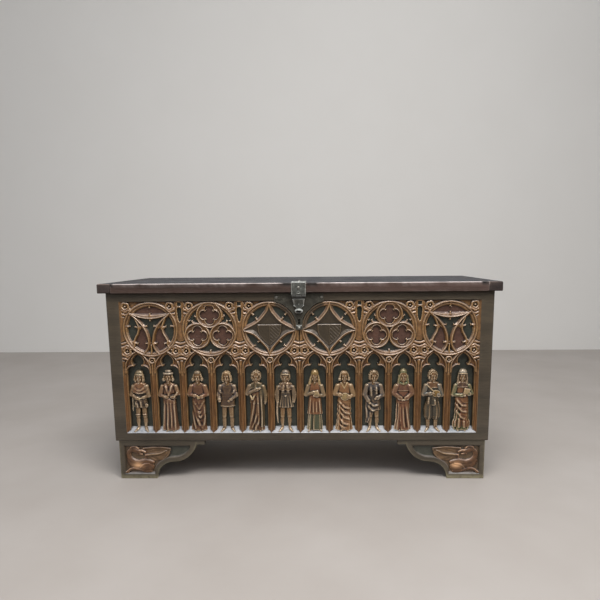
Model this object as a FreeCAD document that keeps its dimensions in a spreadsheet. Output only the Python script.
import FreeCAD, Part
import math
import os
import Sketcher

# Gothic Revival coffer chest, in millimetres.
# +X is to the right, +Y to the back and +Z up. The origin lies on the floor under the middle of the lid.

doc = FreeCAD.newDocument("CofferChest")

# Driving dimensions: name, value and what it measures.
SIZES = (
    ("bay_pitch", "93.5", "spacing of the niches along the front"),
    ("stile_width", "39", "plain wood beside the carving at each end"),
    ("body_height", "477", "carcass, from its underside to its top edge"),
    ("body_depth", "485", "carcass, front face to back face"),
    ("foot_height", "131", "floor to the underside of the carcass"),
    ("front_thickness", "34", "carved front board"),
    ("side_thickness", "24", "end boards"),
    ("back_thickness", "24", "back board"),
    ("bottom_thickness", "20", "bottom boards"),
    ("board_gap", "0.4", "joint between neighbouring boards"),
    ("lid_thickness", "29", "lid boards and cleats"),
    ("lid_front_overhang", "15", "lid past the front board"),
    ("lid_side_overhang", "20", "lid past each end"),
    ("cleat_width", "41", "cross cleat at each end of the lid"),
    ("dowel_radius", "4", "dowels between lid boards and cleats"),
    ("dowel_length", "50", "whole length of such a dowel"),
    ("fit_clearance", "0.05", "radial clearance of dowels, nails and pins"),
    ("bottom_rail", "26", "plain wood under the niches"),
    ("top_rail", "27", "plain wood over the roundels"),
    ("column_width", "21.5", "shaft between two niches"),
    ("niche_depth", "22", "recess behind each figure"),
    ("sill_rise", "16", "slope of the sill, front edge to back edge"),
    ("arch_rise", "61", "springing of the trefoil arch to its point"),
    ("cusp_rise", "26", "springing to the cusps"),
    ("cusp_half", "18", "half the opening between the cusps"),
    ("arch_gap", "10.8", "wood between an arch and the roundel above"),
    ("mullion_width", "15", "wood between two roundels"),
    ("roundel_gap", "2", "roundel rim below the top rail"),
    ("tracery_depth", "12", "sunk grounds inside the roundels"),
    ("star_depth", "8", "sunk ground round the shields"),
    ("figure_headroom", "45", "arch point above the head of a figure"),
    ("foot_side_inset", "8", "brackets in from the ends of the carcass"),
    ("foot_front_inset", "5", "brackets in from the front and the back"),
    ("bracket_thickness", "22", "bracket boards"),
    ("bracket_length", "279", "front brackets, along the carcass"),
    ("end_bracket_length", "190", "brackets on the ends and the back"),
    ("foot_width", "119", "front brackets on the floor"),
    ("end_foot_width", "70", "other brackets on the floor"),
    ("foot_scoop", "58", "radius of the hollow beside a foot"),
    ("foot_lobe", "78", "radius of the lobe over that hollow"),
    ("strip_height", "15", "thin end of a bracket"),
    ("strip_length", "27", "thin end of a bracket, along the carcass"),
    ("border_width", "14", "raised border round the carved field"),
    ("beast_depth", "8", "sunk field behind the beast"),
    ("block_size", "44", "glue block inside each corner"),
    ("block_lift", "4", "glue block clear of the floor"),
    ("iron_thickness", "3", "hinge leaves and hasp strap"),
    ("hinge_offset", "400", "each hinge from the middle"),
    ("hinge_width", "30", "hinge leaves"),
    ("hinge_leaf", "110", "hinge leaves, away from the pin"),
    ("hinge_knuckle", "4.8", "outer radius of the hinge knuckles"),
    ("hinge_gap", "0.4", "running gap at the hinge knuckles"),
    ("hinge_pin", "2.5", "radius of the hinge pins"),
    ("nail_radius", "1.5", "nail shanks"),
    ("nail_head", "4.5", "radius of the nail heads"),
    ("nail_head_height", "2.5", "nail heads"),
    ("nail_length", "14", "nail shanks"),
    ("leaf_nail_near", "49.5", "first nail of a hinge leaf from the edge at the pin"),
    ("leaf_nail_far", "93.5", "second nail of a hinge leaf"),
    ("plate_thickness", "2.5", "lock plate"),
    ("plate_half", "76", "half the width of the lock plate"),
    ("plate_drop", "4", "lock plate below the top of the carcass"),
    ("plate_length", "114", "lock plate, top to bottom"),
    ("plate_rim_gap", "2", "lock plate outside the roundel rims"),
    ("tail_half", "11", "half the width of the tail of the lock plate"),
    ("plate_nail_x", "70", "upper plate nails from the middle"),
    ("plate_nail_drop", "12", "upper plate nails below the top of the plate"),
    ("tail_nail_rise", "6", "lower plate nail above the foot of the plate"),
    ("keyhole_drop", "89", "keyhole below the top of the carcass"),
    ("keyhole_radius", "3.2", "round part of the keyhole"),
    ("keyhole_slot", "3.6", "width of the slot of the keyhole"),
    ("keyhole_length", "11", "slot below the middle of the keyhole"),
    ("key_pin", "1.2", "radius of the pin that a pipe key turns on"),
    ("case_depth", "16", "lock case in the mortise"),
    ("case_wall", "1.5", "sheet of the lock case"),
    ("case_fit", "0.2", "gap between case and mortise"),
    ("case_half", "36", "half the width of the lock case"),
    ("case_drop", "10", "top of the lock case below the carcass top"),
    ("case_height", "46", "wide part of the lock case"),
    ("waist_half", "14.5", "half the width of the middle of the case"),
    ("waist_height", "28", "middle of the case"),
    ("neck_half", "8", "half the width of the foot of the case"),
    ("neck_height", "24", "foot of the case"),
    ("strap_width", "44", "hasp strap"),
    ("strap_length", "70", "hasp strap on top of the lid"),
    ("strap_nail_near", "21", "first nail on top of the lid, from the lid's front"),
    ("strap_nail_far", "56", "second nail on top of the lid"),
    ("strap_nail_rise", "14", "nail in front, above the underside of the lid"),
    ("hasp_drop", "12", "hasp pin below the lid"),
    ("hasp_knuckle", "4", "outer radius of the hasp knuckles"),
    ("hasp_pin", "2", "radius of the hasp pin"),
    ("hasp_gap", "0.5", "running gap beside the middle knuckle"),
    ("tongue_knuckle_half", "7.5", "half the width of the middle knuckle"),
    ("tongue_half", "19.5", "half the width of the tongue at its top"),
    ("tongue_waist_half", "14", "half the width of the tongue at its shoulder"),
    ("tongue_neck_half", "8", "half the width of the tongue over the knob"),
    ("tongue_shoulder", "2", "slope from the middle knuckle out to the full width"),
    ("tongue_waist_drop", "28", "shoulder of the tongue below the hasp pin"),
    ("neck_length", "2", "straight neck between shoulder and knob"),
    ("crank_start", "10", "bend of the tongue towards the plate, below the hasp pin"),
    ("crank_end", "24", "end of that bend"),
    ("tongue_thickness", "3.5", "hasp tongue"),
    ("tongue_gap", "1", "tongue in front of the lock plate"),
    ("tongue_length", "46", "hasp pin to the middle of the knob"),
    ("knob_half", "13", "half the width of the knob"),
    ("knob_rise", "8", "half the height of the knob"),
    ("knob_reach", "9", "knob in front of the tongue"),
    ("staple_thickness", "4", "staple behind the tongue"),
    ("staple_height", "16", "staple, top to bottom"),
    ("staple_top", "27", "staple below the hasp pin"),
    ("staple_reach", "12", "staple behind the face of the front board"),
    ("staple_side_gap", "1", "slot beside the staple"),
    ("staple_swing", "8", "slot below the staple, for its swing"),
    ("slot_relief", "2", "slot deeper than the staple"),
    ("bolt_height", "6", "bolt of the lock"),
    ("bolt_thickness", "5", "bolt of the lock, front to back"),
    ("bolt_length", "28", "bolt of the lock"),
    ("bolt_gap", "1", "bolt clear of the staple and its eye"),
    ("bolt_inset", "4.5", "bolt behind the face of the front board"),
    ("bolt_tail", "30", "finger of the bolt that the key pushes"),
    ("bolt_tail_width", "2.2", "width of that finger"),
    ("bolt_tail_offset", "10.6", "finger from the middle"),
    ("spring_thickness", "1", "leaf spring on the bolt"),
    ("spring_radius", "60", "bend of the leaf spring"),
    ("spring_rise", "6", "fixed end of the spring over its free end"),
    ("slide_gap", "0.3", "bolt clear of its guides and its spring"),
)

size = doc.addObject("Spreadsheet::Sheet", "Size")
for row, (name, value, note) in enumerate(SIZES, start=1):
    size.set(f"A{row}", name)
    size.set(f"B{row}", value)
    size.set(f"C{row}", note)
    size.setAlias(f"B{row}", name)
doc.recompute()

# Places that follow from the driving dimensions.
PLACES = (
    ("body_half", "Size.stile_width + 6 * Size.bay_pitch"),
    ("carcass_top", "Size.foot_height + Size.body_height"),
    ("lid_top", "carcass_top + Size.lid_thickness"),
    ("lid_half", "body_half + Size.lid_side_overhang"),
    ("cleat_joint", "lid_half - Size.cleat_width"),
    ("rear", "(Size.body_depth + Size.lid_front_overhang) / 2"),
    ("lid_front", "-rear"),
    ("front", "lid_front + Size.lid_front_overhang"),
    ("inner_front", "front + Size.front_thickness"),
    ("inner_back", "rear - Size.back_thickness"),
    ("inner_side", "body_half - Size.side_thickness"),
    ("rail_top", "Size.foot_height + Size.bottom_rail"),
    ("radius", "Size.bay_pitch - Size.mullion_width / 2"),
    ("roundel_z", "carcass_top - Size.top_rail - Size.roundel_gap - radius"),
    ("niche_half", "(Size.bay_pitch - Size.column_width) / 2"),
    ("arch_point", "roundel_z - sqrt(radius^2 - (Size.bay_pitch / 2)^2) - Size.arch_gap"),
    ("spring_z", "arch_point - Size.arch_rise"),
    ("cusp_z", "spring_z + Size.cusp_rise"),
    ("figure", "arch_point - rail_top - Size.figure_headroom"),
    ("ground", "front + Size.niche_depth"),
    ("foot_side", "body_half - Size.foot_side_inset"),
    ("foot_front", "front + Size.foot_front_inset"),
    ("foot_back", "rear - Size.foot_front_inset"),
    ("hinge_y", "rear + Size.hinge_gap + Size.hinge_knuckle"),
    ("hasp_y", "lid_front - Size.iron_thickness / 2"),
    ("hasp_z", "carcass_top - Size.hasp_drop"),
    ("plate_front", "front - Size.plate_thickness"),
    ("plate_top", "carcass_top - Size.plate_drop"),
    ("plate_arc", "radius + Size.plate_rim_gap"),
    ("keyhole_z", "carcass_top - Size.keyhole_drop"),
    ("case_top", "carcass_top - Size.case_drop"),
    ("case_shoulder", "case_top - Size.case_height"),
    ("case_waist", "case_shoulder - Size.waist_height"),
    ("case_foot", "case_waist - Size.neck_height"),
    ("case_back", "front + Size.case_depth - Size.case_wall"),
    ("tongue_back", "plate_front - Size.tongue_gap"),
    ("knob_z", "hasp_z - Size.tongue_length"),
    ("staple_top_z", "hasp_z - Size.staple_top"),
    ("staple_foot_z", "staple_top_z - Size.staple_height"),
    ("staple_half", "Size.staple_thickness / 2"),
    ("staple_back", "front + Size.staple_reach"),
    ("slot_half", "staple_half + Size.staple_side_gap"),
    ("slot_foot", "staple_foot_z - Size.staple_swing"),
    ("slot_back", "staple_back + Size.slot_relief"),
    ("bolt_z", "(staple_top_z + staple_foot_z - Size.bolt_height) / 2"),
    ("bolt_x", "staple_half + Size.bolt_gap"),
    ("bolt_y", "front + Size.bolt_inset"),
)

place = doc.addObject("App::VarSet", "At")
for name, formula in PLACES:
    place.addProperty("App::PropertyFloat", name)
    place.setExpression(name, formula)
    doc.recompute()


# ---- helpers ----

def number(formula):
    return float(place.evalExpression(formula))


def bind(thing, **formulas):
    for name, formula in formulas.items():
        thing.setExpression(name, formula)
    return thing


def put(thing, x="0", y="0", z="0", turn=None):
    if turn:
        thing.Placement = FreeCAD.Placement(FreeCAD.Vector(), turn)
    for axis, formula in (("x", x), ("y", y), ("z", z)):
        thing.setExpression(f"Placement.Base.{axis}", formula)
    return thing


def about(axis, degrees):
    return FreeCAD.Rotation(FreeCAD.Vector(*axis), degrees)


def block(name, x, y, z):
    box = doc.addObject("Part::Box", name)
    bind(
        box,
        Length=f"({x[1]}) - ({x[0]})",
        Width=f"({y[1]}) - ({y[0]})",
        Height=f"({z[1]}) - ({z[0]})",
    )
    return put(box, x[0], y[0], z[0])


def rod(name, radius, length, start, along):
    """A cylinder from its start point along +X, +Y or +Z."""
    turns = {"X": about((0, 1, 0), 90), "Y": about((1, 0, 0), -90), "Z": None}
    cylinder = doc.addObject("Part::Cylinder", name)
    bind(cylinder, Radius=radius, Height=length)
    return put(cylinder, *start, turn=turns[along])


def egg(name, centre, radii, lean=0):
    """An ellipsoid with its radii along X, Y and Z, leaning about Y."""
    ellipsoid = doc.addObject("Part::Ellipsoid", name)
    bind(ellipsoid, Radius1=radii[2], Radius2=radii[0], Radius3=radii[1])
    return put(ellipsoid, *centre, turn=about((0, 1, 0), lean) if lean else None)


def fuse(name, solids, refine=True):
    union = doc.addObject("Part::MultiFuse", name)
    union.Shapes = solids
    union.Refine = refine
    return union


def group(name, solids):
    compound = doc.addObject("Part::Compound", name)
    compound.Links = solids
    return compound


def cut(name, base, tool):
    difference = doc.addObject("Part::Cut", name)
    difference.Base = base
    difference.Tool = tool
    return difference


def common(name, base, tool, refine=True):
    overlap = doc.addObject("Part::Common", name)
    overlap.Base = base
    overlap.Tool = tool
    overlap.Refine = refine
    return overlap


def mirror(name, source):
    """The same shape on the other side of the middle of the chest."""
    other = doc.addObject("Part::Mirroring", name)
    other.Source = source
    other.Normal = FreeCAD.Vector(1, 0, 0)
    return other


def new_body(name):
    return doc.addObject("PartDesign::Body", name)


def new_sketch(body, name, plane):
    sketch = body.newObject("Sketcher::SketchObject", name)
    support = [f for f in body.Origin.OriginFeatures if f.Role == f"{plane}_Plane"][0]
    sketch.AttachmentSupport = [(support, "")]
    sketch.MapMode = "FlatFace"
    return sketch


def pin_point(sketch, edge, end, x, y):
    """Ties one point of a sketch to two formulas."""
    for kind, formula, axis in (("DistanceX", x, -2), ("DistanceY", y, -1)):
        if formula == "0":
            sketch.addConstraint(Sketcher.Constraint("PointOnObject", edge, end, axis))
            continue
        tie = Sketcher.Constraint(kind, -1, 1, edge, end, number(formula))
        index = sketch.addConstraint(tie)
        sketch.setExpression(f"Constraints[{index}]", formula)


def arc_between(first, last, radius, convex):
    """The short arc between two points, always drawn counter-clockwise."""
    start, end = (first, last) if convex else (last, first)
    chord = end - start
    rise = math.sqrt(radius**2 - (chord.Length / 2) ** 2)
    centre = (start + end) / 2 + FreeCAD.Vector(-chord.y, chord.x, 0) * (rise / chord.Length)
    angles = [math.atan2((p - centre).y, (p - centre).x) for p in (start, end)]
    circle = Part.Circle(centre, FreeCAD.Vector(0, 0, 1), radius)
    return Part.ArcOfCircle(circle, angles[0], angles[1])


def draw(sketch, corners):
    """A closed outline, counter-clockwise.

    A corner is (x, y), or (x, y, radius, bulge) where the edge that follows is an arc.
    bulge is 1 for an arc that swells out of the outline and -1 for one that eats into it.
    """
    points = [FreeCAD.Vector(number(c[0]), number(c[1]), 0) for c in corners]
    ends = []
    for index, corner in enumerate(corners):
        here, there = points[index], points[(index + 1) % len(points)]
        if len(corner) == 2:
            edge = sketch.addGeometry(Part.LineSegment(here, there))
            ends.append((edge, 1, 2))
            continue
        convex = corner[3] > 0
        edge = sketch.addGeometry(arc_between(here, there, number(corner[2]), convex))
        ends.append((edge, 1, 2) if convex else (edge, 2, 1))
    for index, (edge, first, last) in enumerate(ends):
        following = ends[(index + 1) % len(ends)]
        join = Sketcher.Constraint("Coincident", edge, last, following[0], following[1])
        sketch.addConstraint(join)
        pin_point(sketch, edge, first, *corners[index][:2])
        if len(corners[index]) > 2:
            tie = Sketcher.Constraint("Radius", edge, number(corners[index][2]))
            sketch.setExpression(f"Constraints[{sketch.addConstraint(tie)}]", corners[index][2])


def draw_circle(sketch, x, y, radius):
    centre = FreeCAD.Vector(number(x), number(y), 0)
    circle = Part.Circle(centre, FreeCAD.Vector(0, 0, 1), number(radius))
    edge = sketch.addGeometry(circle)
    pin_point(sketch, edge, 3, x, y)
    tie = Sketcher.Constraint("Radius", edge, number(radius))
    sketch.setExpression(f"Constraints[{sketch.addConstraint(tie)}]", radius)


def pad(body, sketch, length, back=False, both=False):
    feature = body.newObject("PartDesign::Pad", f"{sketch.Name}Pad")
    feature.Profile = sketch
    feature.Midplane = both
    feature.Reversed = back
    return bind(feature, Length=length)


def pocket(body, sketch, depth):
    feature = body.newObject("PartDesign::Pocket", f"{sketch.Name}Pocket")
    feature.Profile = sketch
    return bind(feature, Length=depth)


def mirrored(body, features, sketch):
    copy = body.newObject("PartDesign::Mirrored", f"{features[0].Name}Mirrored")
    copy.Originals = features
    copy.MirrorPlane = (sketch, ["V_Axis"])
    body.Tip = copy
    return copy


def nail(name, at, along, sign):
    """A nail with a low domed head. sign is the way its point goes along the axis."""
    turns = {("Y", 1): about((1, 0, 0), -90), ("Y", -1): about((1, 0, 0), 90),
             ("Z", 1): None, ("Z", -1): about((1, 0, 0), 180)}
    turn = turns[along, sign]
    shank = doc.addObject("Part::Cylinder", f"{name}_shank")
    bind(shank, Radius="Size.nail_radius", Height="Size.nail_length")
    put(shank, *at, turn=turn)
    head = doc.addObject("Part::Cone", f"{name}_head")
    bind(head, Radius1="Size.nail_head * 0.45", Radius2="Size.nail_head",
         Height="Size.nail_head_height")
    step = "-" if sign > 0 else "+"
    spot = list(at)
    axis = "XYZ".index(along)
    spot[axis] = f"{at[axis]} {step} Size.nail_head_height"
    put(head, *spot, turn=turn)
    return fuse(name, [shank, head])


def nail_hole(name, at, along, sign):
    start = list(at)
    axis = "XYZ".index(along)
    reach = "Size.nail_length + 1"
    start[axis] = f"{at[axis]} - {'1' if sign > 0 else '(' + reach + ')'}"
    return rod(name, "Size.nail_radius + Size.fit_clearance", f"{reach} + 1", start, along)


def nails(name, spots, along, sign):
    return group(name, [nail(f"{name}_{n}", at, along, sign) for n, at in enumerate(spots)])


def nail_holes(name, spots, along, sign):
    return [nail_hole(f"{name}_{n}", at, along, sign) for n, at in enumerate(spots)]


parts = {}


def keep(node, thing):
    thing.Label = node
    parts[node] = thing
    return thing


# ---- the carved front board ----

# Its body has the face of the board at local y = 0, and the wood behind it.

def share(bay, x, z):
    """A point of a roundel, as shares of its radius from its centre."""
    return (
        f"{bay} * Size.bay_pitch + ({x}) * At.radius",
        f"At.roundel_z + ({z}) * At.radius",
    )


def of_radius(factor):
    return f"{factor} * At.radius"


def niche_outline(middle):
    half, cusp = "At.niche_half", "Size.cusp_half"
    shoulder = "(Size.cusp_rise + At.niche_half - Size.cusp_half) * 0.6"
    lobe = "(Size.arch_rise - Size.cusp_rise)"
    return [
        (f"{middle} - {half}", "At.rail_top"),
        (f"{middle} + {half}", "At.rail_top"),
        (f"{middle} + {half}", "At.spring_z", shoulder, 1),
        (f"{middle} + {cusp}", "At.cusp_z", lobe, 1),
        (middle, "At.arch_point", lobe, 1),
        (f"{middle} - {cusp}", "At.cusp_z", shoulder, 1),
        (f"{middle} - {half}", "At.spring_z"),
    ]


def carve_niches(body):
    sketch = new_sketch(body, "Niche", "XZ")
    draw(sketch, niche_outline("-5.5 * Size.bay_pitch"))
    first = pocket(body, sketch, "Size.niche_depth")
    doc.recompute()
    row = body.newObject("PartDesign::LinearPattern", "NicheRow")
    row.Originals = [first]
    row.Direction = (sketch, ["H_Axis"])
    bind(row, Length="11 * Size.bay_pitch")
    row.Occurrences = 12
    body.Tip = row
    doc.recompute()
    slope = new_sketch(body, "Sill", "YZ")
    draw(slope, [("0", "At.rail_top"), ("Size.niche_depth", "At.rail_top"),
                 ("Size.niche_depth", "At.rail_top + Size.sill_rise")])
    pad(body, slope, "12 * Size.bay_pitch", both=True)
    doc.recompute()


def lens_and_leaves(sketch, bay):
    """Two leaning leaves, split by a rib, under a lying lens."""
    low, rim = of_radius(1.626), of_radius(0.92)
    draw(sketch, [(*share(bay, -0.66, 0.64), low, 1), (*share(bay, 0.66, 0.64), rim, 1)])
    side = of_radius(1.05)
    draw(sketch, [(*share(bay, -0.38, 0.42), side, -1), (*share(bay, 0, -0.16), side, -1),
                  (*share(bay, 0.38, 0.42), low, -1)])
    for way in (-1, 1):
        outer = [(*share(bay, way * 0.68, 0.46), of_radius(0.9), 1),
                 (*share(bay, way * 0.78, -0.42), of_radius(0.79), 1)]
        inner = [(*share(bay, way * 0.36, 0.2),), (*share(bay, way * 0.52, -0.42),),
                 (*share(bay, way * 0.52, -0.68), of_radius(0.86), 1),
                 (*share(bay, way * 0.24, -0.84), of_radius(0.9), 1)]
        for outline in (outer, inner):
            draw(sketch, outline if way < 0 else turned(outline))


def turned(outline):
    """The same outline, listed the other way round after mirroring."""
    count = len(outline)
    corners = []
    for index in range(count):
        corner = outline[(-index) % count]
        before = outline[(-index - 1) % count]
        corners.append((corner[0], corner[1], *before[2:]))
    return corners


def three_rings(sketch, bay):
    """Three pierced rings, with small spandrels between them."""
    for x, z in ((0, 0.523), (-0.465, -0.238), (0.465, -0.238)):
        draw_circle(sketch, *share(bay, x, z), of_radius(0.36))
    foot = [(*share(bay, 0, -0.42), of_radius(0.55), -1),
            (*share(bay, -0.35, -0.85), of_radius(0.92), 1),
            (*share(bay, 0.35, -0.85), of_radius(0.55), -1)]
    draw(sketch, foot)
    for way in (-1, 1):
        side = [(*share(bay, way * 0.44, 0.78), of_radius(0.92), 1),
                (*share(bay, way * 0.82, 0.3), of_radius(0.5), -1),
                (*share(bay, way * 0.5, 0.2), of_radius(0.5), -1)]
        draw(sketch, side if way < 0 else turned(side))


def star_lenses(sketch, bay):
    """The four lenses between the rim and the star."""
    for way in (-1, 1):
        for up in (-1, 1):
            lens = [(*share(bay, way * 0.22, up * 0.86), of_radius(0.92), 1),
                    (*share(bay, way * 0.87, up * 0.16), of_radius(0.8), 1)]
            draw(sketch, lens if way * up < 0 else turned(lens))


def star_and_shield(sketch, bay):
    """The star's sunk ground, with the shield left standing in it."""
    side = of_radius(1.058)
    draw(sketch, [(*share(bay, 0, 0.82), side, -1), (*share(bay, -0.9, -0.03), side, -1),
                  (*share(bay, 0, -0.86), side, -1), (*share(bay, 0.9, -0.03), side, -1)])
    draw(sketch, [share(bay, -0.36, 0.14), share(bay, -0.36, -0.2), share(bay, 0, -0.55),
                  share(bay, 0.36, -0.2), share(bay, 0.36, 0.14)])


def carve_roundels(body):
    designs = (
        ("Leaves", lens_and_leaves, 5, "Size.tracery_depth"),
        ("Rings", three_rings, 3, "Size.tracery_depth"),
        ("Lenses", star_lenses, 1, "Size.tracery_depth"),
        ("Star", star_and_shield, 1, "Size.star_depth"),
    )
    for name, design, bay, depth in designs:
        sketch = new_sketch(body, name, "XZ")
        design(sketch, bay)
        feature = pocket(body, sketch, depth)
        doc.recompute()
        mirrored(body, [feature], sketch)
        doc.recompute()


def lock_mortise(body):
    sketch = new_sketch(body, "Mortise", "XZ")
    gap = "Size.case_fit"
    steps = (
        (f"Size.neck_half + {gap}", f"At.case_foot - {gap}"),
        (f"Size.neck_half + {gap}", f"At.case_waist - {gap}"),
        (f"Size.waist_half + {gap}", f"At.case_waist - {gap}"),
        (f"Size.waist_half + {gap}", f"At.case_shoulder - {gap}"),
        (f"Size.case_half + {gap}", f"At.case_shoulder - {gap}"),
        (f"Size.case_half + {gap}", f"At.case_top + {gap}"),
    )
    left = [(f"-({x})", z) for x, z in reversed(steps)]
    draw(sketch, [*steps, *left])
    pocket(body, sketch, f"Size.case_depth + {gap}")
    slot = new_sketch(body, "StapleSlot", "XZ")
    draw(slot, [("-At.slot_half", "At.case_shoulder"), ("At.slot_half", "At.case_shoulder"),
                ("At.slot_half", "At.carcass_top"), ("-At.slot_half", "At.carcass_top")])
    pocket(body, slot, "Size.staple_reach + Size.slot_relief")


PLATE_NAILS = (
    ("-Size.plate_nail_x", "At.plate_front", "At.plate_top - Size.plate_nail_drop"),
    ("Size.plate_nail_x", "At.plate_front", "At.plate_top - Size.plate_nail_drop"),
    ("0", "At.plate_front", "At.plate_top - Size.plate_length + Size.tail_nail_rise"),
)


def front_board():
    body = new_body("FrontBoard")
    put(body, y="At.front")
    face = new_sketch(body, "Board", "XZ")
    draw(face, [("-At.body_half", "Size.foot_height"), ("At.body_half", "Size.foot_height"),
                ("At.body_half", "At.carcass_top"), ("-At.body_half", "At.carcass_top")])
    pad(body, face, "Size.front_thickness", back=True)
    doc.recompute()
    carve_niches(body)
    carve_roundels(body)
    lock_mortise(body)
    doc.recompute()
    holes = group("FrontBoardNailHoles", nail_holes("board_hole", PLATE_NAILS, "Y", 1))
    keep("front_board", cut("FrontBoardDrilled", body, holes))


# ---- the carcass ----

def carcass_boards():
    tall = ("Size.foot_height", "At.carcass_top")
    between = ("At.inner_front", "At.inner_back")
    left = block("LeftSide", ("-At.body_half", "-At.inner_side"), between, tall)
    right = block("RightSide", ("At.inner_side", "At.body_half"), between, tall)
    keep("left_side_board", left)
    keep("right_side_board", right)
    back = block("Back", ("-At.body_half", "At.body_half"), ("At.inner_back", "At.rear"), tall)
    holes = [nail_hole(f"back_hole_{n}", at, "Y", -1) for n, at in enumerate(back_nail_spots())]
    keep("back_board", cut("BackDrilled", back, group("BackNailHoles", holes)))


def bottom_boards():
    """Three boards side by side, sitting on the brackets and the glue blocks."""
    wide = "(At.inner_back - At.inner_front) / 3"
    for index, name in enumerate(("front", "middle", "back")):
        near = f"At.inner_front + {index} * {wide}"
        far = f"At.inner_front + {index + 1} * {wide}"
        joint = "Size.board_gap / 2"
        deep = (f"{near} + {joint}" if index else near, f"{far} - {joint}" if index < 2 else far)
        board = block(
            f"Bottom{name}",
            ("-At.inner_side", "At.inner_side"),
            deep,
            ("Size.foot_height", "Size.foot_height + Size.bottom_thickness"),
        )
        keep(f"bottom_board_{name}", board)


# ---- the lid ----

def hinge_sides():
    return (("left", "-Size.hinge_offset"), ("right", "Size.hinge_offset"))


def lid_nail_spots():
    return [
        (x, f"At.rear - Size.{inset}", "At.carcass_top")
        for side, x in hinge_sides()
        for inset in ("leaf_nail_near", "leaf_nail_far")
    ]


def back_nail_spots():
    return [
        (x, "At.rear + Size.iron_thickness", f"At.carcass_top - Size.{inset}")
        for side, x in hinge_sides()
        for inset in ("leaf_nail_near", "leaf_nail_far")
    ]


STRAP_NAILS = tuple(
    ("0", f"At.lid_front + Size.{inset}", "At.lid_top + Size.iron_thickness")
    for inset in ("strap_nail_near", "strap_nail_far")
)
STRAP_FRONT_NAIL = (
    "0", "At.lid_front - Size.iron_thickness", "At.carcass_top + Size.strap_nail_rise",
)


def dowels(name, radius, length):
    """Rods across both cleat joints, two to each lid board."""
    half = f"({length}) / 2"
    return [
        rod(f"{name}_{way}_{spot}", radius, length,
            (f"{joint} - {half}", f"At.rear * {spot / 4}", "At.carcass_top + Size.lid_thickness / 2"),
            "X")
        for way, joint in (("left", "-At.cleat_joint"), ("right", "At.cleat_joint"))
        for spot in (-3, -1, 1, 3)
    ]


def lid():
    tall = ("At.carcass_top", "At.lid_top")
    bores = dowels("bore", "Size.dowel_radius + Size.fit_clearance", "Size.dowel_length + 1")
    slots = [
        block(f"{side}LeafSlot", (f"{x} - Size.hinge_width / 2", f"{x} + Size.hinge_width / 2"),
              ("At.rear - Size.hinge_leaf", "At.rear + 1"),
              ("At.carcass_top - 1", "At.carcass_top + Size.iron_thickness"))
        for side, x in hinge_sides()
    ]
    nail_cuts = nail_holes("strap_hole", STRAP_NAILS, "Z", -1)
    nail_cuts += nail_holes("strap_front_hole", [STRAP_FRONT_NAIL], "Y", 1)
    nail_cuts += nail_holes("lid_hole", lid_nail_spots(), "Z", 1)
    cuts = group("LidCuts", bores + slots + nail_cuts)
    seam = "Size.board_gap / 2"
    wide = ("-At.cleat_joint", "At.cleat_joint")
    pieces = (
        ("lid_front_board", wide, ("At.lid_front", f"-{seam}")),
        ("lid_back_board", wide, (seam, "At.rear")),
        ("lid_left_cleat", ("-At.lid_half", "-At.cleat_joint"), ("At.lid_front", "At.rear")),
        ("lid_right_cleat", ("At.cleat_joint", "At.lid_half"), ("At.lid_front", "At.rear")),
    )
    for node, x, y in pieces:
        keep(node, cut(f"{node}_cut", block(f"{node}_blank", x, y, tall), cuts))
    rods = dowels("dowel", "Size.dowel_radius", "Size.dowel_length")
    keep("lid_dowels", group("LidDowels", rods))


# ---- the bracket feet ----

def bracket_outline(length, foot):
    """The outline of a bracket whose corner is at x = 0."""
    waist = f"-({foot} + Size.foot_scoop)"
    strip = "Size.foot_height - Size.strip_height"
    return [
        (f"-({foot})", "0"),
        ("0", "0"),
        ("0", "Size.foot_height"),
        (f"-({length})", "Size.foot_height"),
        (f"-({length})", strip),
        (f"-({length} - Size.strip_length)", strip, "Size.foot_lobe", 1),
        (waist, "Size.foot_scoop", "Size.foot_scoop", -1),
    ]


def field_outline(length, foot, border):
    """The field inside the border of a bracket; the border is wider at its foot and its top."""
    floor, top = f"{border} * 1.3", f"Size.foot_height - {border} * 1.4"
    waist = f"-({foot} + Size.foot_scoop)"
    scoop = f"(Size.foot_scoop + {border})"
    tip = f"-({length} - Size.strip_length) + {border} * 1.6"
    return [
        (f"{waist} + sqrt({scoop}^2 - ({floor})^2)", floor),
        (f"-{border}", floor),
        (f"-{border}", top),
        (tip, top, f"Size.foot_lobe - {border}", 1),
        (waist, scoop, scoop, -1),
    ]


def bracket(name, length, foot):
    body = new_body(name)
    sketch = new_sketch(body, f"{name}Outline", "XZ")
    draw(sketch, bracket_outline(length, foot))
    pad(body, sketch, "Size.bracket_thickness", back=True)
    doc.recompute()
    return body


BEAST_SCALE = "Size.foot_height / 131"


def beast(x, y):
    """A crouching winged beast, its head turned back over the wing."""
    lumps = (
        ("haunch", -84, 40, 34, 20, 0),
        ("chest", -46, 48, 22, 26, 20),
        ("neck", -30, 78, 9, 26, 8),
        ("head", -52, 103, 18, 9, -12),
        ("snout", -74, 95, 12, 5, -20),
        ("wing", -122, 84, 46, 12, -8),
        ("wing_tip", -158, 92, 22, 7, 10),
        ("foreleg", -42, 28, 30, 6, -6),
        ("tail", -106, 27, 14, 7, 25),
    )
    return [
        egg(f"beast_{name}", (f"{x} + ({dx}) * {BEAST_SCALE}", y, f"{dz} * {BEAST_SCALE}"),
            (f"{rx} * {BEAST_SCALE}", "Size.beast_depth", f"{rz} * {BEAST_SCALE}"), lean)
        for name, dx, dz, rx, rz, lean in lumps
    ]


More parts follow.
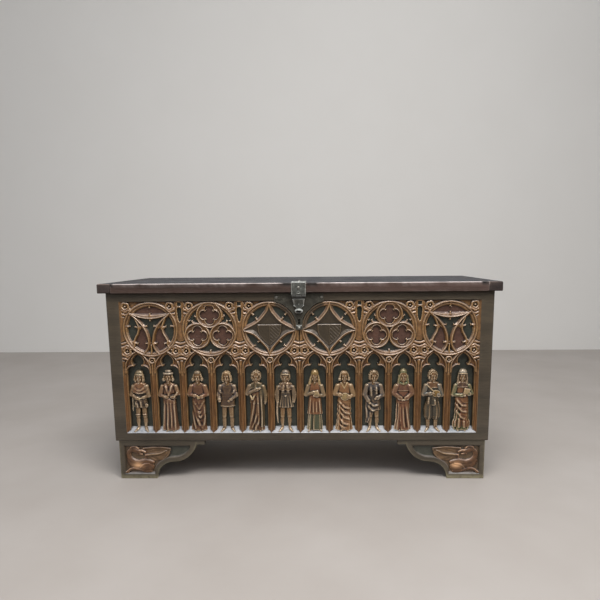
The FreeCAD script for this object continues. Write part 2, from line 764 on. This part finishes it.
def carved_bracket():
    body = bracket("FrontBracket", "Size.bracket_length", "Size.foot_width")
    put(body, x="At.foot_side", y="At.foot_front")
    field = new_sketch(body, "Field", "XZ")
    draw(field, field_outline("Size.bracket_length", "Size.foot_width", "Size.border_width"))
    pocket(body, field, "Size.beast_depth")
    doc.recompute()
    carving = beast("At.foot_side", "At.foot_front + Size.beast_depth")
    right = fuse("CarvedBracket", [body, *carving])
    keep("foot_front_right", right)
    keep("foot_front_left", mirror("CarvedBracketLeft", right))


def plain_brackets():
    """The brackets on the ends and the back, each made once and mirrored."""
    length, foot = "Size.end_bracket_length", "Size.end_foot_width"
    near = "At.foot_front + Size.bracket_thickness"
    far = "At.foot_back - Size.bracket_thickness"
    plan = (
        ("end_front_left", "end_front_right", "-At.foot_side", near, -90),
        ("end_back_right", "end_back_left", "At.foot_side", far, 90),
        ("back_left", "back_right", "-At.foot_side", "At.foot_back", 180),
    )
    for name, twin, x, y, turn in plan:
        body = bracket(f"Bracket_{name}", length, foot)
        put(body, x=x, y=y, turn=about((0, 0, 1), turn))
        keep(f"foot_{name}", body)
        keep(f"foot_{twin}", mirror(f"Bracket_{twin}", body))


def corner_blocks():
    inside = "At.foot_side - Size.bracket_thickness"
    tall = ("Size.block_lift", "Size.foot_height")
    rows = (
        ("front", ("At.foot_front + Size.bracket_thickness",
                   "At.foot_front + Size.bracket_thickness + Size.block_size")),
        ("back", ("At.foot_back - Size.bracket_thickness - Size.block_size",
                  "At.foot_back - Size.bracket_thickness")),
    )
    for name, deep in rows:
        left = (f"-({inside})", f"-({inside}) + Size.block_size")
        right = (f"{inside} - Size.block_size", inside)
        keep(f"corner_block_{name}_left", block(f"Block{name}Left", left, deep, tall))
        keep(f"corner_block_{name}_right", block(f"Block{name}Right", right, deep, tall))


# ---- the figures ----

# Every figure is built on its own height and on the width and depth of its niche.
# hem: lower edge of the gown or tunic; hands: their height; both as shares of the height.
# held: a thing in the hands and its offset from the middle.
FIGURES = (
    {"hem": 0.40, "hands": 0.56, "hat": "cap", "held": None},
    {"hem": 0.04, "hands": 0.60, "hat": "flat", "held": None},
    {"hem": 0.04, "hands": 0.58, "hat": "flat", "held": ("book", 0.0)},
    {"hem": 0.41, "hands": 0.52, "hat": "hair", "held": None},
    {"hem": 0.04, "hands": 0.68, "hat": "hair", "held": None},
    {"hem": 0.40, "hands": 0.60, "hat": "cap", "held": ("staff", -0.42)},
    {"hem": 0.30, "hands": 0.66, "hat": "hood", "held": ("book", 0.0)},
    {"hem": 0.04, "hands": 0.60, "hat": "hair", "held": ("drum", 0.0)},
    {"hem": 0.35, "hands": 0.56, "hat": "flat", "held": ("book", 0.15)},
    {"hem": 0.30, "hands": 0.54, "hat": "hood", "held": None},
    {"hem": 0.30, "hands": 0.62, "hat": "hair", "held": ("drum", 0.28)},
    {"hem": 0.25, "hands": 0.64, "hat": "hood", "held": ("drum", 0.28)},
)
LOWER_ARM_LEAN = 62
UPPER_ARM_LEAN = 9


def figure_air(name, x):
    """The air of a niche over its sloping sill, which trims the figure at its back and feet."""
    air = doc.addObject("Part::Wedge", name)
    half = "0.95 * At.niche_half"
    bind(air, Xmin=f"-{half}", X2min=f"-{half}", Xmax=half, X2max=half,
         Ymin="0", Ymax="Size.niche_depth", Zmin="0", Z2min="Size.sill_rise",
         Zmax="At.arch_point", Z2max="At.arch_point")
    return put(air, x, "At.front", "At.rail_top")


def figure(index, style):
    """One carved figure. Its points are shares of the niche's half width, depth and figure height."""
    name = f"figure_{index + 1:02d}"
    middle = f"{index - 5.5} * Size.bay_pitch"

    def spot(x, depth, z):
        return (f"{middle} + ({x}) * At.niche_half", f"At.ground - {depth} * Size.niche_depth",
                f"At.rail_top + {z} * At.figure")

    def ball(what, centre, radius):
        sphere = doc.addObject("Part::Sphere", f"{name}_{what}")
        bind(sphere, Radius=f"{radius} * Size.niche_depth")
        return put(sphere, *spot(*centre))

    def tube(what, foot, height, low, high, lean=0):
        """A round tapered piece that stands on its foot, with its radii at the foot and the top."""
        cone = doc.addObject("Part::Cone", f"{name}_{what}")
        bind(cone, Radius1=f"{low} * Size.niche_depth", Radius2=f"{high} * Size.niche_depth",
             Height=f"{height} * At.figure")
        return put(cone, *spot(*foot), turn=about((0, 1, 0), lean) if lean else None)

    def bar(what, x, depth, z, wide, tall, thick):
        """A flat piece held in front of the figure, with its half width and half height."""
        low, high = spot(x - wide, depth + thick, z - tall), spot(x + wide, depth, z + tall)
        return block(f"{name}_{what}", (low[0], high[0]), (low[1], high[1]), (low[2], high[2]))

    hem, hands = style["hem"], style["hands"]
    solids = [
        tube("chest", (0, 0.1, 0.5), 0.27, 0.5, 0.8),
        tube("collar", (0, 0.16, 0.75), 0.075, 0.68, 0.4),
        tube("neck", (0, 0.34, 0.78), 0.08, 0.24, 0.22),
        ball("face", (0, 0.43, 0.872), 0.51),
        tube("skirt", (0, 0.07, hem), 0.56 - hem, 0.87, 0.6),
        ball("hands", (0, 0.6, hands), 0.33),
    ]
    for way in (-1, 1):
        side = "left" if way < 0 else "right"
        solids += [
            ball(f"{side}_shoulder", (way * 0.44, 0.26, 0.765), 0.4),
            tube(f"{side}_arm", (way * 0.62, 0.3, 0.6), 0.17, 0.3, 0.35, lean=-way * UPPER_ARM_LEAN),
            ball(f"{side}_elbow", (way * 0.61, 0.32, 0.6), 0.33),
            tube(f"{side}_sleeve", (way * 0.6, 0.42, hands - 0.02), 0.1, 0.3, 0.24,
                 lean=-way * LOWER_ARM_LEAN),
            tube(f"{side}_foot", (way * 0.3, 0.42, 0), 0.085, 0.42, 0.2),
        ]
        if hem > 0.2:
            solids.append(tube(f"{side}_leg", (way * 0.25, 0.3, 0), hem + 0.05, 0.23, 0.32))
    if style["hat"] == "cap":
        solids.append(ball("hat", (0, 0.4, 0.935), 0.54))
    elif style["hat"] == "flat":
        solids.append(ball("hair", (0, 0.34, 0.89), 0.56))
        solids.append(tube("hat", (0, 0.38, 0.925), 0.065, 0.57, 0.5))
    elif style["hat"] == "hood":
        solids.append(tube("hat", (0, 0.3, 0.83), 0.165, 0.68, 0.12))
    else:
        solids.append(ball("hair", (0, 0.3, 0.905), 0.65))
    if style["held"]:
        thing, x = style["held"]
        sizes = {"book": (0.3, 0.05, 0.3), "staff": (0.1, 0.17, 0.42), "drum": (0.3, 0.06, 0.3)}
        wide, tall, thick = sizes[thing]
        solids.append(bar(thing, x, 0.5, hands if thing != "staff" else 0.46, wide, tall, thick))
    blank = fuse(f"{name}_blank", solids, refine=False)
    air = figure_air(f"{name}_air", middle)
    keep(name, common(f"{name}_trimmed", blank, air, refine=False))


# ---- the hinges ----

def hinge(side, x):
    """A leaf let into the lid, a leaf on the back board and the pin through both."""
    low = f"{x} - Size.hinge_width / 2"
    high = f"{x} + Size.hinge_width / 2"
    third = "Size.hinge_width / 3"
    inner = (f"{low} + {third} + Size.hinge_gap / 2", f"{high} - {third} - Size.hinge_gap / 2")
    axis = ("At.hinge_y", "At.carcass_top")
    bore = rod(f"{side}_bore", "Size.hinge_pin + Size.fit_clearance", "Size.hinge_width + 2",
               (f"{low} - 1", *axis), "X")

    leaf = block(f"{side}_lid_leaf_flat", (low, high),
                 ("At.rear - Size.hinge_leaf", "At.rear"),
                 ("At.carcass_top", "At.carcass_top + Size.iron_thickness"))
    bridge = block(f"{side}_bridge", inner, ("At.rear - 1", "At.hinge_y"),
                   ("At.carcass_top", "At.carcass_top + Size.iron_thickness"))
    knuckle = rod(f"{side}_lid_knuckle", "Size.hinge_knuckle", f"({inner[1]}) - ({inner[0]})",
                  (inner[0], *axis), "X")
    holes = nail_holes(f"{side}_lid_leaf_hole", lid_nail_spots(), "Z", 1)
    lid_leaf = fuse(f"{side}_lid_leaf", [leaf, bridge, knuckle])
    keep(f"hinge_{side}_lid_leaf",
         cut(f"{side}_lid_leaf_bored", lid_leaf, group(f"{side}_lid_cuts", [bore, *holes])))

    plate = block(f"{side}_body_leaf_flat", (low, high),
                  ("At.rear", "At.rear + Size.iron_thickness"),
                  ("At.carcass_top - Size.hinge_leaf", "At.carcass_top"))
    outer = [
        rod(f"{side}_body_knuckle_{n}", "Size.hinge_knuckle", f"{third} - Size.hinge_gap / 2",
            (start, *axis), "X")
        for n, start in enumerate((low, f"{high} - {third} + Size.hinge_gap / 2"))
    ]
    notch = block(f"{side}_notch",
                  (f"{inner[0]} - Size.hinge_gap", f"{inner[1]} + Size.hinge_gap"),
                  ("At.rear - 1", "At.hinge_y + Size.hinge_knuckle + 1"),
                  ("At.carcass_top - Size.hinge_knuckle - Size.hinge_gap", "At.carcass_top + 10"))
    holes = [nail_hole(f"{side}_body_leaf_hole_{n}", at, "Y", -1)
             for n, at in enumerate(back_nail_spots())]
    body_leaf = fuse(f"{side}_body_leaf", [plate, *outer])
    keep(f"hinge_{side}_body_leaf",
         cut(f"{side}_body_leaf_bored", body_leaf,
             group(f"{side}_body_cuts", [bore, notch, *holes])))
    pin = rod(f"{side}_pin", "Size.hinge_pin", "Size.hinge_width", (low, *axis), "X")
    keep(f"hinge_{side}_pin", pin)


def hinges():
    for side, x in hinge_sides():
        hinge(side, x)
    keep("lid_hinge_nails", nails("lid_nail", lid_nail_spots(), "Z", 1))
    keep("body_hinge_nails", nails("back_nail", back_nail_spots(), "Y", -1))


# ---- the hasp ----

def hasp_strap():
    body = new_body("HaspStrap")
    sketch = new_sketch(body, "StrapProfile", "YZ")
    outside = "At.lid_front - Size.iron_thickness"
    draw(sketch, [
        (outside, "At.hasp_z"),
        ("At.lid_front", "At.hasp_z"),
        ("At.lid_front", "At.lid_top"),
        ("At.lid_front + Size.strap_length", "At.lid_top"),
        ("At.lid_front + Size.strap_length", "At.lid_top + Size.iron_thickness"),
        (outside, "At.lid_top + Size.iron_thickness"),
    ])
    pad(body, sketch, "Size.strap_width", both=True)
    doc.recompute()
    axis = ("At.hasp_y", "At.hasp_z")
    knuckle = rod("strap_knuckle", "Size.hasp_knuckle", "Size.strap_width",
                  ("-Size.strap_width / 2", *axis), "X")
    bore = rod("strap_bore", "Size.hasp_pin + Size.fit_clearance", "Size.strap_width + 2",
               ("-Size.strap_width / 2 - 1", *axis), "X")
    gap = "Size.tongue_knuckle_half + Size.hasp_gap"
    reach = "(Size.hasp_knuckle + Size.hasp_gap)"
    notch = block("strap_notch", (f"-({gap})", gap),
                  (f"At.hasp_y - {reach}", f"At.hasp_y + {reach}"),
                  (f"At.hasp_z - {reach}", f"At.hasp_z + {reach}"))
    holes = nail_holes("strap_leaf_hole", STRAP_NAILS, "Z", -1)
    holes += nail_holes("strap_leaf_front_hole", [STRAP_FRONT_NAIL], "Y", 1)
    whole = fuse("StrapWhole", [body, knuckle])
    keep("hasp_strap", cut("StrapBored", whole, group("StrapCuts", [bore, notch, *holes])))
    top = [nail(f"strap_nail_{n}", at, "Z", -1) for n, at in enumerate(STRAP_NAILS)]
    front = nail("strap_front_nail", STRAP_FRONT_NAIL, "Y", 1)
    keep("hasp_strap_nails", group("StrapNails", [*top, front]))
    keep("hasp_pin", rod("HaspPin", "Size.hasp_pin", "Size.strap_width",
                         ("-Size.strap_width / 2", *axis), "X"))


def hasp_tongue():
    """The cranked tongue with its knuckle and knob, bored for its pin and the tang of the staple."""
    half = "Size.tongue_thickness / 2"
    crank_top = "At.hasp_z - Size.crank_start"
    crank_foot = "At.hasp_z - Size.crank_end"
    side = new_body("TongueSide")
    profile = new_sketch(side, "TongueProfile", "YZ")
    back = "At.tongue_back"
    face = "At.tongue_back - Size.tongue_thickness"
    draw(profile, [
        (face, "At.knob_z"), (back, "At.knob_z"), (back, crank_foot),
        (f"At.hasp_y + {half}", crank_top), (f"At.hasp_y + {half}", "At.hasp_z"),
        (f"At.hasp_y - {half}", "At.hasp_z"), (f"At.hasp_y - {half}", crank_top),
        (face, crank_foot),
    ])
    pad(side, profile, "2 * Size.tongue_half", both=True)
    front = new_body("TongueFront")
    put(front, y="At.hasp_y")
    outline = new_sketch(front, "TongueOutline", "XZ")
    clear = "At.hasp_z - Size.hasp_knuckle - Size.hasp_gap"
    right = [
        ("Size.tongue_neck_half", "At.knob_z"),
        ("Size.tongue_neck_half", "At.knob_z + Size.knob_rise + Size.neck_length"),
        ("Size.tongue_waist_half", "At.hasp_z - Size.tongue_waist_drop"),
        ("Size.tongue_half", f"{clear} - Size.tongue_shoulder"),
        ("Size.tongue_knuckle_half", clear),
        ("Size.tongue_knuckle_half", "At.hasp_z"),
    ]
    draw(outline, [*right, *[(f"-{x}", z) for x, z in reversed(right)]])
    pad(front, outline, "4 * Size.hasp_knuckle + 2 * Size.tongue_thickness", both=True)
    doc.recompute()
    blade = common("TongueBlade", side, front)
    axis = ("At.hasp_y", "At.hasp_z")
    knuckle = rod("tongue_knuckle", "Size.hasp_knuckle", "2 * Size.tongue_knuckle_half",
                  ("-Size.tongue_knuckle_half", *axis), "X")
    knob = egg("tongue_knob", ("0", face, "At.knob_z"),
               ("Size.knob_half", "Size.knob_reach", "Size.knob_rise"))
    trim = block("knob_trim", ("-Size.knob_half - 1", "Size.knob_half + 1"),
                 (f"{face} - Size.knob_reach - 1", back),
                 ("At.knob_z - Size.knob_rise - 1", "At.knob_z + Size.knob_rise + 1"))
    bore = rod("tongue_bore", "Size.hasp_pin + Size.fit_clearance", "Size.strap_width",
               ("-Size.strap_width / 2", *axis), "X")
    hole = rod("tang_hole", "Size.nail_radius + Size.fit_clearance", "Size.tongue_thickness + 2",
               ("0", f"{face} - 1", "At.bolt_z + Size.bolt_height / 2"), "Y")
    whole = fuse("TongueWhole", [blade, knuckle, common("KnobTrimmed", knob, trim)])
    keep("hasp_tongue", cut("TongueBored", whole, group("TongueCuts", [hole, bore])))


def hasp_staple():
    """The flat staple behind the tongue, riveted through it, with the eye that the bolt enters."""
    plate = block("staple_plate", ("-At.staple_half", "At.staple_half"),
                  ("At.tongue_back", "At.staple_back"), ("At.staple_foot_z", "At.staple_top_z"))
    tang = rod("staple_tang", "Size.nail_radius", "Size.tongue_thickness + 1",
               ("0", "At.tongue_back - Size.tongue_thickness", "At.bolt_z + Size.bolt_height / 2"),
               "Y")
    eye = block("staple_eye", ("-At.staple_half - 1", "At.staple_half + 1"),
                ("At.bolt_y - Size.bolt_gap", "At.bolt_y + Size.bolt_thickness + Size.bolt_gap"),
                ("At.bolt_z - Size.bolt_gap", "At.bolt_z + Size.bolt_height + Size.bolt_gap"))
    keep("hasp_staple", cut("StaplePierced", fuse("StapleWhole", [plate, tang]), eye))


# ---- the lock ----

def lock_plate():
    """A plate whose sides follow the rims of the roundels beside it."""
    body = new_body("LockPlate")
    put(body, y="At.plate_front")
    sketch = new_sketch(body, "PlateOutline", "XZ")
    tail = "Size.tail_half"
    foot = "At.plate_top - Size.plate_length"
    low = f"At.roundel_z + sqrt(At.plate_arc^2 - (Size.bay_pitch - {tail})^2)"
    high = "At.roundel_z + sqrt(At.plate_arc^2 - (Size.bay_pitch - Size.plate_half)^2)"
    draw(sketch, [
        (f"-{tail}", foot),
        (tail, foot),
        (tail, low, "At.plate_arc", -1),
        ("Size.plate_half", high),
        ("Size.plate_half", "At.plate_top"),
        ("-Size.plate_half", "At.plate_top"),
        ("-Size.plate_half", high, "At.plate_arc", -1),
        (f"-{tail}", low),
    ])
    pad(body, sketch, "Size.plate_thickness", back=True)
    doc.recompute()
    keyhole = rod("keyhole_round", "Size.keyhole_radius", "Size.plate_thickness + 2",
                  ("0", "At.plate_front - 1", "At.keyhole_z"), "Y")
    through = ("At.plate_front - 1", "At.front + 1")
    slot = block("keyhole_slot", ("-Size.keyhole_slot / 2", "Size.keyhole_slot / 2"), through,
                 ("At.keyhole_z - Size.keyhole_length", "At.keyhole_z"))
    entry = block("staple_entry", ("-At.slot_half", "At.slot_half"), through,
                  ("At.slot_foot", "At.carcass_top"))
    holes = nail_holes("plate_hole", PLATE_NAILS, "Y", 1)
    openings = group("PlateCuts", [fuse("Keyhole", [keyhole, slot]), entry, *holes])
    keep("lock_plate", cut("PlateCut", body, openings))
    keep("lock_plate_nails", nails("plate_nail", PLATE_NAILS, "Y", 1))


def stepped_case(name, wall, back):
    """The three stacked widths of the lock case, drawn in from its outside by a wall."""
    steps = (
        ("wide", "Size.case_half", "At.case_shoulder", "At.case_top"),
        ("waist", "Size.waist_half", "At.case_waist", "At.case_shoulder + 2 * Size.case_wall"),
        ("neck", "Size.neck_half", "At.case_foot", "At.case_waist + 2 * Size.case_wall"),
    )
    return fuse(name, [
        block(f"{name}_{what}", (f"-({half} - {wall})", f"{half} - {wall}"), ("At.front", back),
              (f"{low} + {wall}", f"{high} - {wall}"))
        for what, half, low, high in steps
    ])


def lock_case():
    """Open at the front, where the lock plate closes it. Two rests carry the bolt."""
    shell = stepped_case("CaseOutside", "0", "At.front + Size.case_depth")
    hollow = stepped_case("CaseInside", "Size.case_wall", "At.case_back")
    entry = block("case_entry", ("-At.slot_half", "At.slot_half"), ("At.front", "At.slot_back"),
                  ("At.case_top - 5", "At.case_top + 1"))
    rests = [
        block(f"bolt_rest_{n}", (f"{x} - 2", f"{x} + 2"), ("At.bolt_y", "At.front + Size.case_depth"),
              ("At.case_shoulder", "At.bolt_z - Size.slide_gap"))
        for n, x in enumerate(("Size.waist_half + 4", "Size.case_half - 6"))
    ]
    open_case = cut("CaseHollowed", shell, fuse("CaseHollow", [hollow, entry]))
    keep("lock_case", fuse("LockCase", [open_case, *rests]))
    pin = rod("KeyPin", "Size.key_pin", "At.case_back - At.front - 1",
              ("0", "At.front + 1", "At.keyhole_z"), "Y")
    keep("key_pin", pin)


def lock_bolt():
    """The bolt drawn back, with the finger that the key pushes."""
    deep = ("At.bolt_y", "At.bolt_y + Size.bolt_thickness")
    bar = block("BoltBar", ("At.bolt_x", "At.bolt_x + Size.bolt_length"), deep,
                ("At.bolt_z", "At.bolt_z + Size.bolt_height"))
    finger = block("BoltFinger",
                   ("Size.bolt_tail_offset", "Size.bolt_tail_offset + Size.bolt_tail_width"), deep,
                   ("At.bolt_z - Size.bolt_tail", "At.bolt_z + 1"))
    keep("lock_bolt", fuse("LockBolt", [bar, finger]))


def lock_spring():
    """A bent leaf that presses on the bolt, held against the side of the case."""
    body = new_body("LockSpring")
    put(body, y="At.bolt_y")
    sketch = new_sketch(body, "SpringBend", "XZ")
    free = "At.bolt_x + 5"
    held = "Size.case_half - Size.case_wall - Size.case_fit"
    foot = "At.bolt_z + Size.bolt_height + Size.slide_gap"
    fixed = f"{foot} + Size.spring_rise"
    draw(sketch, [
        (free, foot, "Size.spring_radius", -1),
        (held, fixed),
        (held, f"{fixed} + Size.spring_thickness", "Size.spring_radius + Size.spring_thickness", 1),
        (free, f"{foot} + Size.spring_thickness"),
    ])
    pad(body, sketch, "Size.bolt_thickness", back=True)
    keep("lock_spring", body)


# ---- build, check and write ----

front_board()
carcass_boards()
bottom_boards()
lid()
carved_bracket()
plain_brackets()
corner_blocks()
for index, style in enumerate(FIGURES):
    figure(index, style)
hinges()
hasp_strap()
hasp_tongue()
hasp_staple()
lock_plate()
lock_case()
lock_bolt()
lock_spring()
doc.recompute()

for thing in doc.Objects:
    if "Invalid" in thing.State or "Error" in thing.State:
        raise RuntimeError(f"{thing.Name} failed: {thing.State}")
for node, thing in parts.items():
    if thing.Shape.isNull() or not thing.Shape.isValid():
        raise RuntimeError(f"{node} has no valid shape")

os.makedirs("parts", exist_ok=True)
for node, thing in parts.items():
    thing.Shape.exportStep(f"parts/{node}.step")
    print(node, len(thing.Shape.Solids), round(thing.Shape.Volume / 1000, 1), "cm3")
print(len(parts), "parts")
